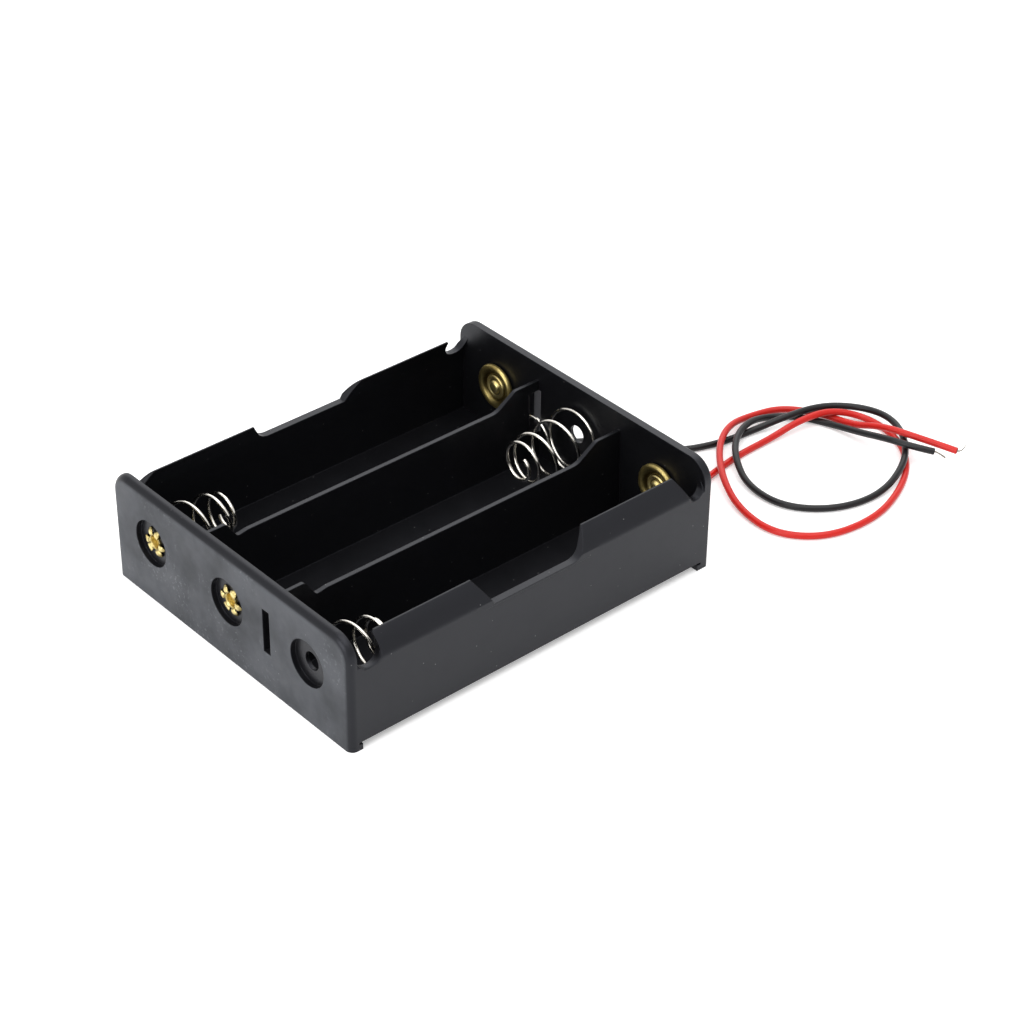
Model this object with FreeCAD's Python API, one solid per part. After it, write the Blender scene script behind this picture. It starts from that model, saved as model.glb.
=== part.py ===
"""Holder for three cylindrical cells side by side, wired in series, with two flying leads.

Frame: X runs along the cells, +X towards the lead end, +Z up. The origin is at the middle of the case,
on the surface that its end walls stand on. Cell 1 is the bay at +Y and cell 3 the bay at -Y.
"""
import FreeCAD, Part
import math
import os

from FreeCAD import Vector as V

# Cells that the holder takes
cell_diameter = 18.5
cell_length = 65.2

# Case: one moulding
cell_count = 3
bay_clearance = 0.4          # between a cell and each side of its bay
divider_root = 1.6
divider_tip = 0.65
side_wall = 0.95
floor_thickness = 1.3
foot_height = 1.1            # how far the end walls stand below the floor
end_wall = 1.65
end_wall_rise = 9.5          # top of the end walls, above the cells' axes
end_wall_corner = 4.0
left_wall_edge = 1.3         # rounding of the left wall's outer rim
lead_wall_edge = 0.4
foot_rib = 0.75              # how much thicker an end wall's foot is, under the floor
floor_edge = 0.4             # bevel along the foot of the side walls

# Snap tabs on the side walls
side_low_rise = 3.45         # top of the side wall between its tabs, above the cells' axes
crease_rise = 0.8            # from there to where the outer face starts to lean inwards
tab_rise = 4.2
tab_lean = 2.15              # how far the inner face of a tab comes in over the cell
tab_edge = 0.3               # thickness left at the top of a tab
notch_width = 5.1            # gap between an end wall and the tab beside it
ramp_notch_width = 5.0       # the same, where the tab ends in a ramp
ramp_run = 2.25
sweep_run = 0.35             # a notch sweeps up the end wall over this run
sweep_rise = 2.6
tab_gap_start = -11.9        # the gap between the two tabs of one wall
tab_gap_end = 11.5
tab_gap_run = 2.7            # the tabs' ends slope by this much
tab_gap_round = 3.0
tab_corner = 0.4

# Dividers
divider_low_rise = 3.35      # top of the dividers along the cells, above the cells' axes
divider_rise = 2.8           # from there to their top beside the end walls
divider_step = 6.0           # length of the high stretch at the left wall
divider_step_run = 2.1
divider_dip = 0.35           # at the foot of the step
divider_dip_run = 2.2
divider_ramp = 5.4           # length of the high stretch at the right wall
divider_ramp_run = 4.4
divider_round = 1.6

# Recesses, rivet holes and wire slots in the end walls
recess_radius = 4.23
recess_depth = 1.0
rivet_hole_radius = 1.65
slot_width = 1.8
slot_height = 8.4
window_reach = 2.3           # how far the slot cuts into the divider

# Channel for the black lead under the floor
lead_diameter = 1.25
lead_height = 0.65           # centre of a lead that lies on the surface
channel_clearance = 0.25
channel_offset = 1.2         # from the divider's foot to the lead's centre
lead_hole_length = 4.0
lead_rise_gap = 0.5          # between the rising lead and the end wall

# Contact cups and rivets, turned about the cell's axis
cup_radius = 4.35
cup_sheet = 0.3
cup_hole_clearance = 0.2
cup_seat_radius = 2.6
cup_rim_height = 1.25
cup_rim_width = 1.15
cup_rim_standoff = 0.7
shank_radius = 1.5
shank_wall = 0.35
head_radius = 2.35
head_flange = 0.3
ring_radius = 1.8
ring_height = 0.62
groove_height = 0.38
dome_radius = 1.05
dome_height = 1.05
petal_radius = 2.95
petal_tip = 0.18             # thickness of a petal at its tip
petal_crest = 0.55
petal_gaps = ((8, 0.7), (61, 1.15), (117, 0.6), (178, 1.3), (243, 0.85), (305, 1.05))   # turn and width of each
spring_head_radius = 2.7
spring_head_height = 0.55

# Conical contact springs
wire_diameter = 0.6
spring_base_radius = 5.4     # to the wire's centre
spring_tip_radius = 3.65
spring_free_length = 13.2    # from the end wall
spring_seated_length = 7.15  # with a cell in its bay
spring_turns = 3.9
spring_close_turns = 1.5     # over which the free end flattens
tip_spiral_turns = 0.5
tip_spiral_radius = 1.4
spring_droop = 0.5           # at the free end, from the spring's own weight
loose_spring_droop = 2.6     # the same, on spring 3, which hangs from its tail
eye_clearance = 0.06
eye_turns = 0.75
wall_gap = 0.05              # between the wire and the wall behind it
points_per_turn = 8
spring_share = 0.48          # of each short run of wire that its bend takes
tail_floor_gap = 0.4

# Bare wire ends and solder
strand_bundle = 0.3
strand_length = 2.0
solder_radius = 0.95
solder_gap = 0.08
joint_gap = 1.1              # between the black lead's end and the side of the spring's base turn

# Derived sizes
bay_width = cell_diameter + 2 * bay_clearance
pitch = bay_width + divider_root
floor_top = foot_height + floor_thickness
axis_height = floor_top + cell_diameter / 2
side_low = axis_height + side_low_rise
crease_height = side_low + crease_rise
tab_height = side_low + tab_rise
divider_low = axis_height + divider_low_rise
divider_high = divider_low + divider_rise
end_wall_height = axis_height + end_wall_rise
notch_round = (notch_width - sweep_run) / 2
ramp_notch_flat = ramp_notch_width - ramp_run - sweep_run
contact_height = cup_sheet + dome_height
inner_length = cell_length + contact_height + spring_seated_length
inner_half = inner_length / 2
half_length = inner_half + end_wall
inner_wall_y = (cell_count * bay_width + (cell_count - 1) * divider_root) / 2
half_width = inner_wall_y + side_wall
lead_radius = lead_diameter / 2
channel_width = lead_diameter + 2 * channel_clearance
channel_y = pitch / 2 + divider_root / 2 + channel_offset
membrane = end_wall - recess_depth
cell_y = [pitch, 0.0, -pitch]
divider_y = [pitch / 2, -pitch / 2]
wire_radius = wire_diameter / 2
base_reach = wall_gap + wire_radius       # from the end wall to the middle of the wire's base turn
eye_radius = shank_radius + eye_clearance + wire_radius
tail_hook_radius = cup_radius - cup_rim_width / 2
spring_rise = spring_free_length - base_reach - wire_radius
spring_pitch = spring_rise / (spring_turns - (1 + spring_close_turns) / 2)
bend_swell = 1 / math.cos(math.pi / points_per_turn)   # a bend passes inside its corner by this ratio
joint_y = cell_y[0] - spring_base_radius - joint_gap
joint_height = axis_height - 0.65 * spring_base_radius

X = V(1, 0, 0)
Y = V(0, 1, 0)
Z = V(0, 0, 1)


def outline(corners, place):
    """A flat face from corners (u, v, radius); place turns u, v into a point. A radius rounds its corner."""
    count = len(corners)
    points = [place(u, v) for u, v, _ in corners]
    starts, ends, mids = [], [], []
    for i, (_, _, radius) in enumerate(corners):
        here, before, after = points[i], points[i - 1], points[(i + 1) % count]
        back = (before - here).normalize()
        ahead = (after - here).normalize()
        if radius <= 0:
            starts.append(here)
            ends.append(here)
            mids.append(None)
            continue
        half = back.getAngle(ahead) / 2
        reach = radius / math.tan(half)
        middle = (back + ahead).normalize()
        centre = here + middle * (radius / math.sin(half))
        starts.append(here + back * reach)
        ends.append(here + ahead * reach)
        mids.append(centre - middle * radius)
    edges = []
    for i in range(count):
        if mids[i] is not None:
            edges.append(Part.Arc(starts[i], mids[i], ends[i]).toShape())
        if ends[i].distanceToPoint(starts[(i + 1) % count]) > 1e-6:
            edges.append(Part.makeLine(ends[i], starts[(i + 1) % count]))
    return Part.Face(Part.Wire(edges))


def turned(profile):
    """A solid turned about the X axis from straight runs and arcs: (x, r), or (x, r, x_mid, r_mid) for an arc there."""
    edges = []
    for i, item in enumerate(profile):
        here = V(item[0], item[1], 0)
        after = profile[(i + 1) % len(profile)]
        there = V(after[0], after[1], 0)
        if len(after) == 4:
            edges.append(Part.Arc(here, V(after[2], after[3], 0), there).toShape())
        else:
            edges.append(Part.makeLine(here, there))
    return Part.Face(Part.Wire(edges)).revolve(V(0, 0, 0), X, 360)


def end_wall_solid(edge_round):
    """An end wall at the left: its outer rim is rounded at the sides and the top, and its foot is a sharp rib."""
    face = outline(
        [
            (-half_width, 0, 0),
            (half_width, 0, 0),
            (half_width, end_wall_height, end_wall_corner),
            (-half_width, end_wall_height, end_wall_corner),
        ],
        lambda u, v: V(-half_length, u, v),
    )
    wall = face.extrude(X * end_wall)
    rim = [
        edge
        for edge in wall.Edges
        if abs(edge.BoundBox.XMax + half_length) < 1e-6 and edge.BoundBox.ZMax > foot_height
    ]
    rib = Part.makeBox(foot_rib, 2 * half_width, foot_height, V(-inner_half, -half_width, 0))
    return wall.makeFillet(edge_round, rim).fuse(rib)


def side_wall_solid():
    """The wall at -Y. Its section leans in over the cell, and its top edge rises into two tabs."""
    top_inner = inner_wall_y - tab_lean
    lean_height = tab_height - axis_height
    inner_curve = (tab_lean**2 + lean_height**2) / (2 * tab_lean)
    middle_z = axis_height + lean_height / 2
    middle_inner = inner_wall_y - inner_curve + math.sqrt(inner_curve**2 - (lean_height / 2) ** 2)
    middle_outer = V(0, -(half_width + top_inner + tab_edge) / 2 - tab_edge, (crease_height + tab_height) / 2)
    corners = {
        "foot": V(0, -half_width, foot_height + floor_edge),
        "crease": V(0, -half_width, crease_height),
        "tip out": V(0, -top_inner - tab_edge, tab_height),
        "tip in": V(0, -top_inner, tab_height),
        "bend": V(0, -inner_wall_y, axis_height),
        "root": V(0, -inner_wall_y, foot_height),
        "bevel": V(0, -half_width + floor_edge, foot_height),
    }
    section = Part.Face(
        Part.Wire(
            [
                Part.makeLine(corners["foot"], corners["crease"]),
                Part.Arc(corners["crease"], middle_outer, corners["tip out"]).toShape(),
                Part.makeLine(corners["tip out"], corners["tip in"]),
                Part.Arc(corners["tip in"], V(0, -middle_inner, middle_z), corners["bend"]).toShape(),
                Part.makeLine(corners["bend"], corners["root"]),
                Part.makeLine(corners["root"], corners["bevel"]),
                Part.makeLine(corners["bevel"], corners["foot"]),
            ]
        )
    )
    section.translate(X * -inner_half)
    prism = section.extrude(X * inner_length)
    above = end_wall_height
    elevation = outline(
        [
            (-inner_half, foot_height, 0),
            (inner_half, foot_height, 0),
            (inner_half, side_low + sweep_rise, 0),
            (inner_half - sweep_run, side_low, 0.8 * ramp_notch_flat),
            (inner_half - ramp_notch_width + ramp_run, side_low, 0.4 * ramp_notch_flat),
            (inner_half - ramp_notch_width, tab_height, 0),
            (inner_half - ramp_notch_width, above, 0),
            (tab_gap_end, above, 0),
            (tab_gap_end, tab_height, 0),
            (tab_gap_end - tab_gap_run, side_low, tab_gap_round),
            (tab_gap_start + tab_gap_run, side_low, 0),
            (tab_gap_start, tab_height, 0),
            (tab_gap_start, above, 0),
            (-inner_half + notch_width + tab_corner, above, 0),
            (-inner_half + notch_width + tab_corner, tab_height, 0),
            (-inner_half + notch_width, tab_height - tab_corner, 0),
            (-inner_half + notch_width, side_low, notch_round),
            (-inner_half + sweep_run, side_low, notch_round),
            (-inner_half, side_low + sweep_rise, 0),
        ],
        lambda u, v: V(u, -half_width - 1, v),
    )
    return prism.common(elevation.extrude(Y * (half_width - top_inner + side_wall + 2)))


def divider_solid(y):
    """A drafted wall between two bays, high beside the end walls and low along the cells."""
    section = outline(
        [
            (-divider_root / 2, foot_height, 0),
            (divider_root / 2, foot_height, 0),
            (divider_tip / 2, divider_high, 0),
            (-divider_tip / 2, divider_high, 0),
        ],
        lambda u, v: V(-inner_half, y + u, v),
    )
    prism = section.extrude(X * inner_length)
    step_end = -inner_half + divider_step
    ramp_start = inner_half - divider_ramp - divider_ramp_run
    elevation = outline(
        [
            (-inner_half, foot_height, 0),
            (inner_half, foot_height, 0),
            (inner_half, divider_high, 0),
            (ramp_start + divider_ramp_run, divider_high, divider_round),
            (ramp_start, divider_low, 2 * divider_round),
            (step_end + divider_step_run + divider_dip_run, divider_low, divider_round),
            (step_end + divider_step_run, divider_low - divider_dip, divider_round / 2),
            (step_end, divider_high, divider_round / 2),
            (-inner_half, divider_high, 0),
        ],
        lambda u, v: V(u, y - divider_root, v),
    )
    return prism.common(elevation.extrude(Y * 2 * divider_root))


def case():
    """The moulding: floor, dividers, side walls and end walls, then its recesses, holes, slots and lead channel."""
    floor = outline(
        [
            (-half_width + floor_edge, foot_height, 0),
            (half_width - floor_edge, foot_height, 0),
            (half_width, foot_height + floor_edge, 0),
            (half_width, floor_top, 0),
            (-half_width, floor_top, 0),
            (-half_width, foot_height + floor_edge, 0),
        ],
        lambda u, v: V(-inner_half, u, v),
    ).extrude(X * inner_length)
    left = end_wall_solid(left_wall_edge)
    right = end_wall_solid(lead_wall_edge)
    right.rotate(V(0, 0, 0), Z, 180)
    near = side_wall_solid()
    far = near.copy()
    far.rotate(V(0, 0, 0), Z, 180)
    body = floor.fuse([left, right, near, far] + [divider_solid(y) for y in divider_y])

    cuts = []
    for side in (-1, 1):
        for y in cell_y:
            outer = V(side * half_length, y, axis_height)
            cuts.append(Part.makeCylinder(recess_radius, recess_depth, outer, X * -side))
            cuts.append(Part.makeCylinder(rivet_hole_radius, end_wall, outer, X * -side))
        slot_y = side * pitch / 2
        slot = Part.makeBox(end_wall + window_reach, slot_width, slot_height)
        start = half_length if side < 0 else -(inner_half - window_reach)
        slot.translate(V(-start, slot_y - slot_width / 2, axis_height - slot_height / 2))
        cuts.append(slot)
    channel = Part.makeBox(
        inner_length + end_wall - lead_rise_gap,
        channel_width,
        lead_height + lead_radius + channel_clearance,
    )
    channel.translate(V(-inner_half + lead_rise_gap, channel_y - channel_width / 2, 0))
    cuts.append(channel)
    hole = outline(
        [
            (-inner_half + lead_rise_gap / 2, channel_y - channel_width / 2, channel_width / 2.01),
            (-inner_half + lead_rise_gap / 2 + lead_hole_length, channel_y - channel_width / 2, channel_width / 2.01),
            (-inner_half + lead_rise_gap / 2 + lead_hole_length, channel_y + channel_width / 2, channel_width / 2.01),
            (-inner_half + lead_rise_gap / 2, channel_y + channel_width / 2, channel_width / 2.01),
        ],
        lambda u, v: V(u, v, 0),
    ).extrude(Z * (floor_top + 0.01))
    cuts.append(hole)
    return body.cut(cuts).removeSplitter()


def at_wall(shape, side, y):
    """Puts a piece modelled on the X axis, its back at x = 0 and its front towards -X, on an end wall's inner face."""
    placed = shape.copy()
    if side < 0:
        placed.rotate(V(0, 0, 0), Y, 180)
    placed.translate(V(side * inner_half, y, axis_height))
    return placed


def contact_cup():
    """A round brass pressing with a rolled rim, riveted flat to the wall."""
    hole = shank_radius + cup_hole_clearance
    rim_in = cup_radius - cup_rim_width
    crest = cup_radius - cup_rim_width / 2
    t = cup_sheet
    return turned(
        [
            (0, hole),
            (-t, hole),
            (-t, cup_seat_radius),
            (-cup_rim_height + 1.2 * t, rim_in),
            (-cup_rim_height + 1.5 * t, cup_radius, -cup_rim_height, crest),
            (-cup_rim_standoff, cup_radius),
            (-cup_rim_standoff, cup_radius - t),
            (-cup_rim_height + 1.9 * t, cup_radius - t),
            (-cup_rim_height + 1.9 * t, rim_in + t, -cup_rim_height + t, crest),
            (0, cup_seat_radius + t / 2),
        ]
    )


def rivet(seat, head):
    """A tubular rivet: its head inside the bay, its shank through the wall, its end splayed into petals outside.

    head is the profile from the tip to the rim of the side that faces the wall, which is at x = seat.
    """
    bore = shank_radius - shank_wall
    body = turned(
        head
        + [
            (seat, shank_radius),
            (membrane, shank_radius),
            (membrane, petal_radius),
            (membrane + petal_tip, petal_radius),
            (membrane, bore, membrane + petal_crest, (bore + petal_radius) / 2),
            (seat, bore),
            (seat, 0),
        ]
    )
    gaps = []
    for turn, width in petal_gaps:
        gap = Part.makeBox(2 * petal_crest, petal_radius, width, V(membrane, bore / 2, -width / 2))
        gap.rotate(V(0, 0, 0), X, turn)
        gaps.append(gap)
    return body.cut(gaps)


def contact_rivet():
    """The rivet of a contact cup, with a domed head and a raised ring round it."""
    seat = -cup_sheet
    foot = seat - groove_height
    return rivet(
        seat,
        [
            (seat - dome_height, 0),
            (foot, dome_radius, seat - 0.8 * dome_height, 0.7 * dome_radius),
            (seat - head_flange, ring_radius + head_flange, seat - ring_height, ring_radius),
            (seat - head_flange, head_radius),
            (seat, head_radius),
        ],
    )


def spring_rivet():
    """The rivet that clamps the eye of spring 1, with a low round head."""
    seat = -(wire_diameter + 2 * wall_gap)
    edge = seat - spring_head_height / 2
    return rivet(
        seat,
        [
            (seat - spring_head_height, 0),
            (edge, spring_head_radius, seat - 0.85 * spring_head_height, spring_head_radius / 2),
            (seat, spring_head_radius),
        ],
    )


def tube(points, radius, share=0.45):
    """Round wire or lead along straight runs joined by tangent arcs. Each arc takes that share of its shorter run."""
    edges = []
    bends = []
    at = points[0]
    for before, here, after in zip(points, points[1:], points[2:]):
        back = (before - here).normalize()
        ahead = (after - here).normalize()
        half_turn = (math.pi - back.getAngle(ahead)) / 2
        reach = share * min(before.distanceToPoint(here), here.distanceToPoint(after))
        bend = reach / math.tan(half_turn)
        middle = (back + ahead).normalize()
        centre = here + middle * (bend / math.cos(half_turn))
        start = here + back * reach
        end = here + ahead * reach
        edges.append(Part.LineSegment(at, start).toShape())
        edges.append(Part.Arc(start, centre - middle * bend, end).toShape())
        bends.append(bend)
        at = end
    edges.append(Part.LineSegment(at, points[-1]).toShape())
    path = Part.Wire(edges)
    section = Part.Wire(Part.makeCircle(radius, points[0], points[1] - points[0]))
    solid = path.makePipeShell([section], True, False, 2)
    print("length", round(path.Length, 1), "bends", [round(bend, 1) for bend in bends])
    print("volume", round(solid.Volume, 2), "of", round(math.pi * radius**2 * path.Length, 2))
    return solid


def on_circle(reach, y, radius, degrees):
    """A point at a distance from the end wall, on a circle about the axis of the cell at y."""
    angle = math.radians(degrees)
    return V(-reach, y + radius * math.cos(angle), radius * math.sin(angle))


def coil(start, droop):
    """The turns of a spring, from an angle on its base turn to its turned-in free end, which hangs by the droop."""
    total = spring_turns + tip_spiral_turns
    steps = round(total * points_per_turn)
    points = []
    for i in range(1, steps + 1):
        turn = i * total / steps
        share = min(turn / spring_turns, 1.0)
        over = max(turn - spring_turns, 0.0) / tip_spiral_turns
        radius = spring_base_radius + (spring_tip_radius - spring_base_radius) * share
        radius += (tip_spiral_radius - spring_tip_radius) * over
        wound = min(turn, spring_turns)
        opening = wound**2 / 2 if wound < 1 else wound - 0.5
        closing = max(wound - spring_turns + spring_close_turns, 0.0) ** 2 / (2 * spring_close_turns)
        reach = base_reach + spring_pitch * (opening - closing)
        point = on_circle(reach, 0, radius * bend_swell, start - 360 * turn)
        points.append(point - Z * droop * share)
    return points


def riveted_spring(droop):
    """A spring whose base turn winds in to an eye under the rivet's head."""
    start = 180
    steps = round(eye_turns * points_per_turn)
    spiral = []
    for i in range(steps + 1):
        share = i / steps
        radius = eye_radius + (spring_base_radius - eye_radius) * share**1.5
        spiral.append(on_circle(base_reach, 0, radius * bend_swell, start + 360 * eye_turns * (1 - share)))
    return tube(spiral + coil(start, droop), wire_radius, spring_share)


def tailed_spring(droop):
    """A spring whose wide base turn runs on as a tail, through the divider's window and round under a cup's rim."""
    low = wire_radius + tail_floor_gap - cell_diameter / 2
    hook_points = [on_circle(base_reach, pitch, tail_hook_radius * bend_swell, a) for a in (70, 25, -20, -65, -110)]
    route = [
        (pitch / 2 + 3.6, -2.9),
        (pitch / 2, -1.3),
        (pitch / 2 - 2.9, -3.1),
        (spring_base_radius * 1.2, 0.68 * low),
        (spring_base_radius * 0.72, 0.98 * low),
        (0.0, low),
        (-spring_base_radius * 0.68, 0.78 * low),
    ]
    base = [V(-base_reach, y, z) for y, z in route]
    return tube(hook_points + base + coil(-90, droop)[1:], wire_radius, spring_share)


over_one = 2.1               # a lead that crosses over one lead
over_two = 3.5
red_route = [
    V(half_length, -pitch, axis_height),
    V(43.0, -pitch, axis_height),
    V(48.6, -18.0, 5.2),
    V(55.2, -13.4, lead_height),
    V(65.0, -11.6, lead_height),
    V(74.6, -11.5, lead_height),
    V(80.4, -12.2, over_one),
    V(87.6, -13.5, over_one + 0.2),
    V(92.9, -18.2, lead_height),
    V(91.9, -26.7, lead_height),
    V(86.8, -33.6, lead_height),
    V(79.0, -38.4, lead_height),
    V(69.8, -41.1, lead_height),
    V(59.4, -39.6, lead_height),
    V(53.2, -33.0, lead_height),
    V(53.6, -24.0, 0.9),
    V(56.9, -16.4, over_one),
    V(63.2, -9.0, over_one + 0.1),
    V(69.7, -4.9, over_one),
    V(76.8, -3.7, lead_height),
    V(83.3, -5.6, lead_height),
    V(87.5, -12.0, lead_height),
    V(88.9, -18.2, lead_height),
    V(89.2, -24.4, over_two),
    V(91.3, -30.8, over_two),
    V(94.3, -38.1, 2.8),
]
black_route = [
    V(half_length, channel_y, lead_height),
    V(43.5, channel_y, lead_height),
    V(51.0, 7.6, lead_height),
    V(57.0, -2.8, lead_height),
    V(65.4, -6.6, lead_height),
    V(74.2, -7.6, lead_height),
    V(79.2, -9.6, over_one),
    V(87.4, -11.0, over_one),
    V(93.4, -15.4, over_one - 0.6),
    V(94.5, -22.0, over_one),
    V(91.4, -28.6, over_one),
    V(84.8, -34.4, over_one),
    V(76.2, -36.8, lead_height),
    V(66.9, -34.9, lead_height),
    V(60.3, -28.4, lead_height),
    V(59.8, -20.0, 0.9),
    V(62.8, -13.8, over_one),
    V(67.6, -8.9, over_one + 0.1),
    V(73.2, -6.4, over_one),
    V(79.0, -6.0, lead_height),
    V(83.3, -9.4, lead_height),
    V(86.1, -15.4, lead_height),
    V(86.6, -21.6, 1.8),
    V(86.8, -27.8, over_two),
    V(88.6, -33.0, over_two),
    V(91.2, -36.0, 2.8),
]


def black_lead_run():
    """The black lead's held stretch: from spring 1 down through the floor and along the channel to the lead end."""
    rise_x = -inner_half + lead_rise_gap + lead_radius
    return tube(
        [
            V(rise_x, joint_y, joint_height),
            V(rise_x, channel_y, joint_height),
            V(rise_x, channel_y, lead_height),
            V(half_length, channel_y, lead_height),
        ],
        lead_radius,
    )


def strands(route, bend):
    """The bare strands at a lead's free end."""
    end = route[-1]
    along = (end - route[-2]).normalize() * strand_length / 2
    return tube([end, end + along, end + along * 2 + bend], strand_bundle / 2)


def red_terminal():
    """The red lead's stripped end in the bore of rivet 3, and the solder that holds it."""
    y = cell_y[2]
    bore = shank_radius - shank_wall
    wire = Part.makeCylinder(
        strand_bundle / 2, end_wall - solder_gap, V(inner_half + solder_gap, y, axis_height), X
    )
    joint = turned(
        [
            (solder_gap, 0),
            (solder_gap, bore - solder_gap),
            (membrane, bore - solder_gap),
            (end_wall, 0.8 * lead_radius, end_wall - 0.3, bore - 0.1),
            (end_wall, 0),
        ]
    )
    joint.translate(V(inner_half, y, axis_height))
    return wire, joint.cut(wire)


def black_terminal():
    """The black lead's stripped end beside the base turn of spring 1, and its solder."""
    rise_x = -inner_half + lead_rise_gap + lead_radius
    start = V(rise_x, joint_y, joint_height)
    wire = Part.makeCylinder(strand_bundle / 2, solder_radius + 0.5, start, Y)
    joint = Part.makeSphere(solder_radius, start + Y * (solder_radius + 0.15))
    keep = Part.makeBox(solder_radius * 1.4, 3, 3, start + V(-solder_radius * 0.9, 0, -1.5))
    return wire, joint.common(keep).cut(wire)


def build():
    """Every piece of the holder by its name."""
    cup = contact_cup()
    head = contact_rivet()
    nodes = {"case": case()}
    for number, side in ((1, 1), (2, -1), (3, 1)):
        y = cell_y[number - 1]
        nodes[f"contact_cup_{number}"] = at_wall(cup, side, y)
        nodes[f"contact_rivet_{number}"] = at_wall(head, side, y)
    nodes["spring_rivet"] = at_wall(spring_rivet(), -1, cell_y[0])
    nodes["spring_1"] = at_wall(riveted_spring(-spring_droop), -1, cell_y[0])
    nodes["spring_2"] = at_wall(tailed_spring(spring_droop), 1, cell_y[1])
    nodes["spring_3"] = at_wall(tailed_spring(-loose_spring_droop), -1, cell_y[2])
    nodes["red_lead"] = tube(red_route, lead_radius)
    nodes["black_lead"] = tube(black_route, lead_radius)
    nodes["black_lead_run"] = black_lead_run()
    nodes["red_strands"] = strands(red_route, V(0.3, 0.3, 1.0))
    nodes["black_strands"] = strands(black_route, V(0.0, 0.0, -0.7))
    nodes["red_terminal_wire"], nodes["red_solder"] = red_terminal()
    nodes["black_terminal_wire"], nodes["black_solder"] = black_terminal()
    return nodes


os.makedirs("parts", exist_ok=True)
for name, shape in build().items():
    shape.exportStep(f"parts/{name}.step")
    print(name, len(shape.Solids), shape.isValid(), round(shape.Volume, 3))
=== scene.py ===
"""Studio picture of a holder for three cylindrical cells, with its springs, contact cups and flying leads."""

import math
import random

import bmesh
import bpy
from mathutils import Matrix, Vector


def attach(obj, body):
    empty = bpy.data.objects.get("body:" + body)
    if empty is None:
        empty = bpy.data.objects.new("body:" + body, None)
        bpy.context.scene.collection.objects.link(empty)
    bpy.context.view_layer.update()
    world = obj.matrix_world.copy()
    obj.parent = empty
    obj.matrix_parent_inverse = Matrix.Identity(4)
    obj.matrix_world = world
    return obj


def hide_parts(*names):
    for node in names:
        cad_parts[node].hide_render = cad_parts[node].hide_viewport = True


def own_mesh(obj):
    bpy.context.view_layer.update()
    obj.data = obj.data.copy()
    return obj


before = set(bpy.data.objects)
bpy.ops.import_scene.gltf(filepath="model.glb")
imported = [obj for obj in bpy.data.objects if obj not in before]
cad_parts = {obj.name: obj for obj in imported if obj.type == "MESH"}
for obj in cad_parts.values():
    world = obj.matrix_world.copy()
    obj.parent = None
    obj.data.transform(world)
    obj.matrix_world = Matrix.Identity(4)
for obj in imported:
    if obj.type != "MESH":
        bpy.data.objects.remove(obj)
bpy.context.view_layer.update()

MM = 0.001

# Sizes shared with the part's source, in millimetres
CELL_PITCH = 20.9
AXIS_HEIGHT = 11.65
INNER_HALF = 36.85
HALF_LENGTH = 38.5
HALF_WIDTH = 31.5
SIDE_LOW = 15.1              # top of a side wall between its tabs
CREASE_HEIGHT = 15.9         # where the tabs start to lean inwards
MEMBRANE = 0.65              # what a recess leaves of the end wall
LEAD_DIAMETER = 1.25
LEAD_HEIGHT = 0.65
CHANNEL_Y = 12.45            # where the black lead comes out from under the case
STRAND_LENGTH = 2.0
CELL_Y = (CELL_PITCH, 0.0, -CELL_PITCH)

# Marks of the mould on the case, as boxes: the middle and the half sizes of each, in millimetres
PARTING_LINE = ((0.0, HALF_WIDTH, SIDE_LOW - 0.45), (11.0, 0.1, 0.07))
TAB_CREASE = ((24.3, HALF_WIDTH, CREASE_HEIGHT), (11.3, 1.0, 0.9))
PARTING_DEPTH = 0.2
EDGE_ROUNDING = 0.2
CREASE_ROUNDING = 0.9
LEFT_FACE_DEPTH = 0.12       # how far the left face's painted lighter grey and matt finish reach round its rim

# Dust on the case: the spacing of its specks in millimetres, their size as a share of it, and their strength
DUST_SPACING = 2.4
DUST_CORE = 0.025
DUST_EDGE = 0.055
DUST_STRENGTH = 0.35

# Grooves of the cups and rivet heads, painted darker as shade and dirt: distance from the cell's axis and
# half width
BRASS_GROOVES = ((2.8, 0.85), (1.4, 0.22))
SHADE_AND_DIRT_STRENGTH = 0.75

# Camera: turned, tilted and rolled in degrees, with its offsets and distance from the origin in millimetres
CAMERA_AZIMUTH = -41.475
CAMERA_ELEVATION = 34.892
CAMERA_ROLL = 0.655
CAMERA_RIGHT = 16.561
CAMERA_UP = 9.642
CAMERA_DISTANCE = 464.595
SENSOR_WIDTH = 36.0
FOCAL_LENGTH = 96.41


def hex_colour(text):
    """An sRGB hex value as linear red, green, blue and alpha."""
    parts = [int(text[i : i + 2], 16) / 255 for i in (1, 3, 5)]
    return tuple(c / 12.92 if c <= 0.04045 else ((c + 0.055) / 1.055) ** 2.4 for c in parts) + (1.0,)


def add_node(tree, kind, settings=None, **inputs):
    """A node in the tree, with its settings, and with each input set to a value or linked to an output.

    An input is given by its name, with underscores for spaces, or by an underscore and its number.
    """
    node = tree.nodes.new(kind)
    for name, value in (settings or {}).items():
        setattr(node, name, value)
    for name, value in inputs.items():
        socket = node.inputs[int(name[1:])] if name[1:].isdigit() else node.inputs[name.replace("_", " ")]
        if isinstance(value, bpy.types.NodeSocket):
            tree.links.new(value, socket)
        else:
            socket.default_value = value
    return node


def new_material(name):
    """An empty material, its tree, and the piece's own coordinates in that tree."""
    material = bpy.data.materials.new(name)
    material.use_nodes = True
    material.node_tree.nodes.clear()
    return material, material.node_tree, add_node(material.node_tree, "ShaderNodeTexCoord").outputs["Object"]


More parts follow.
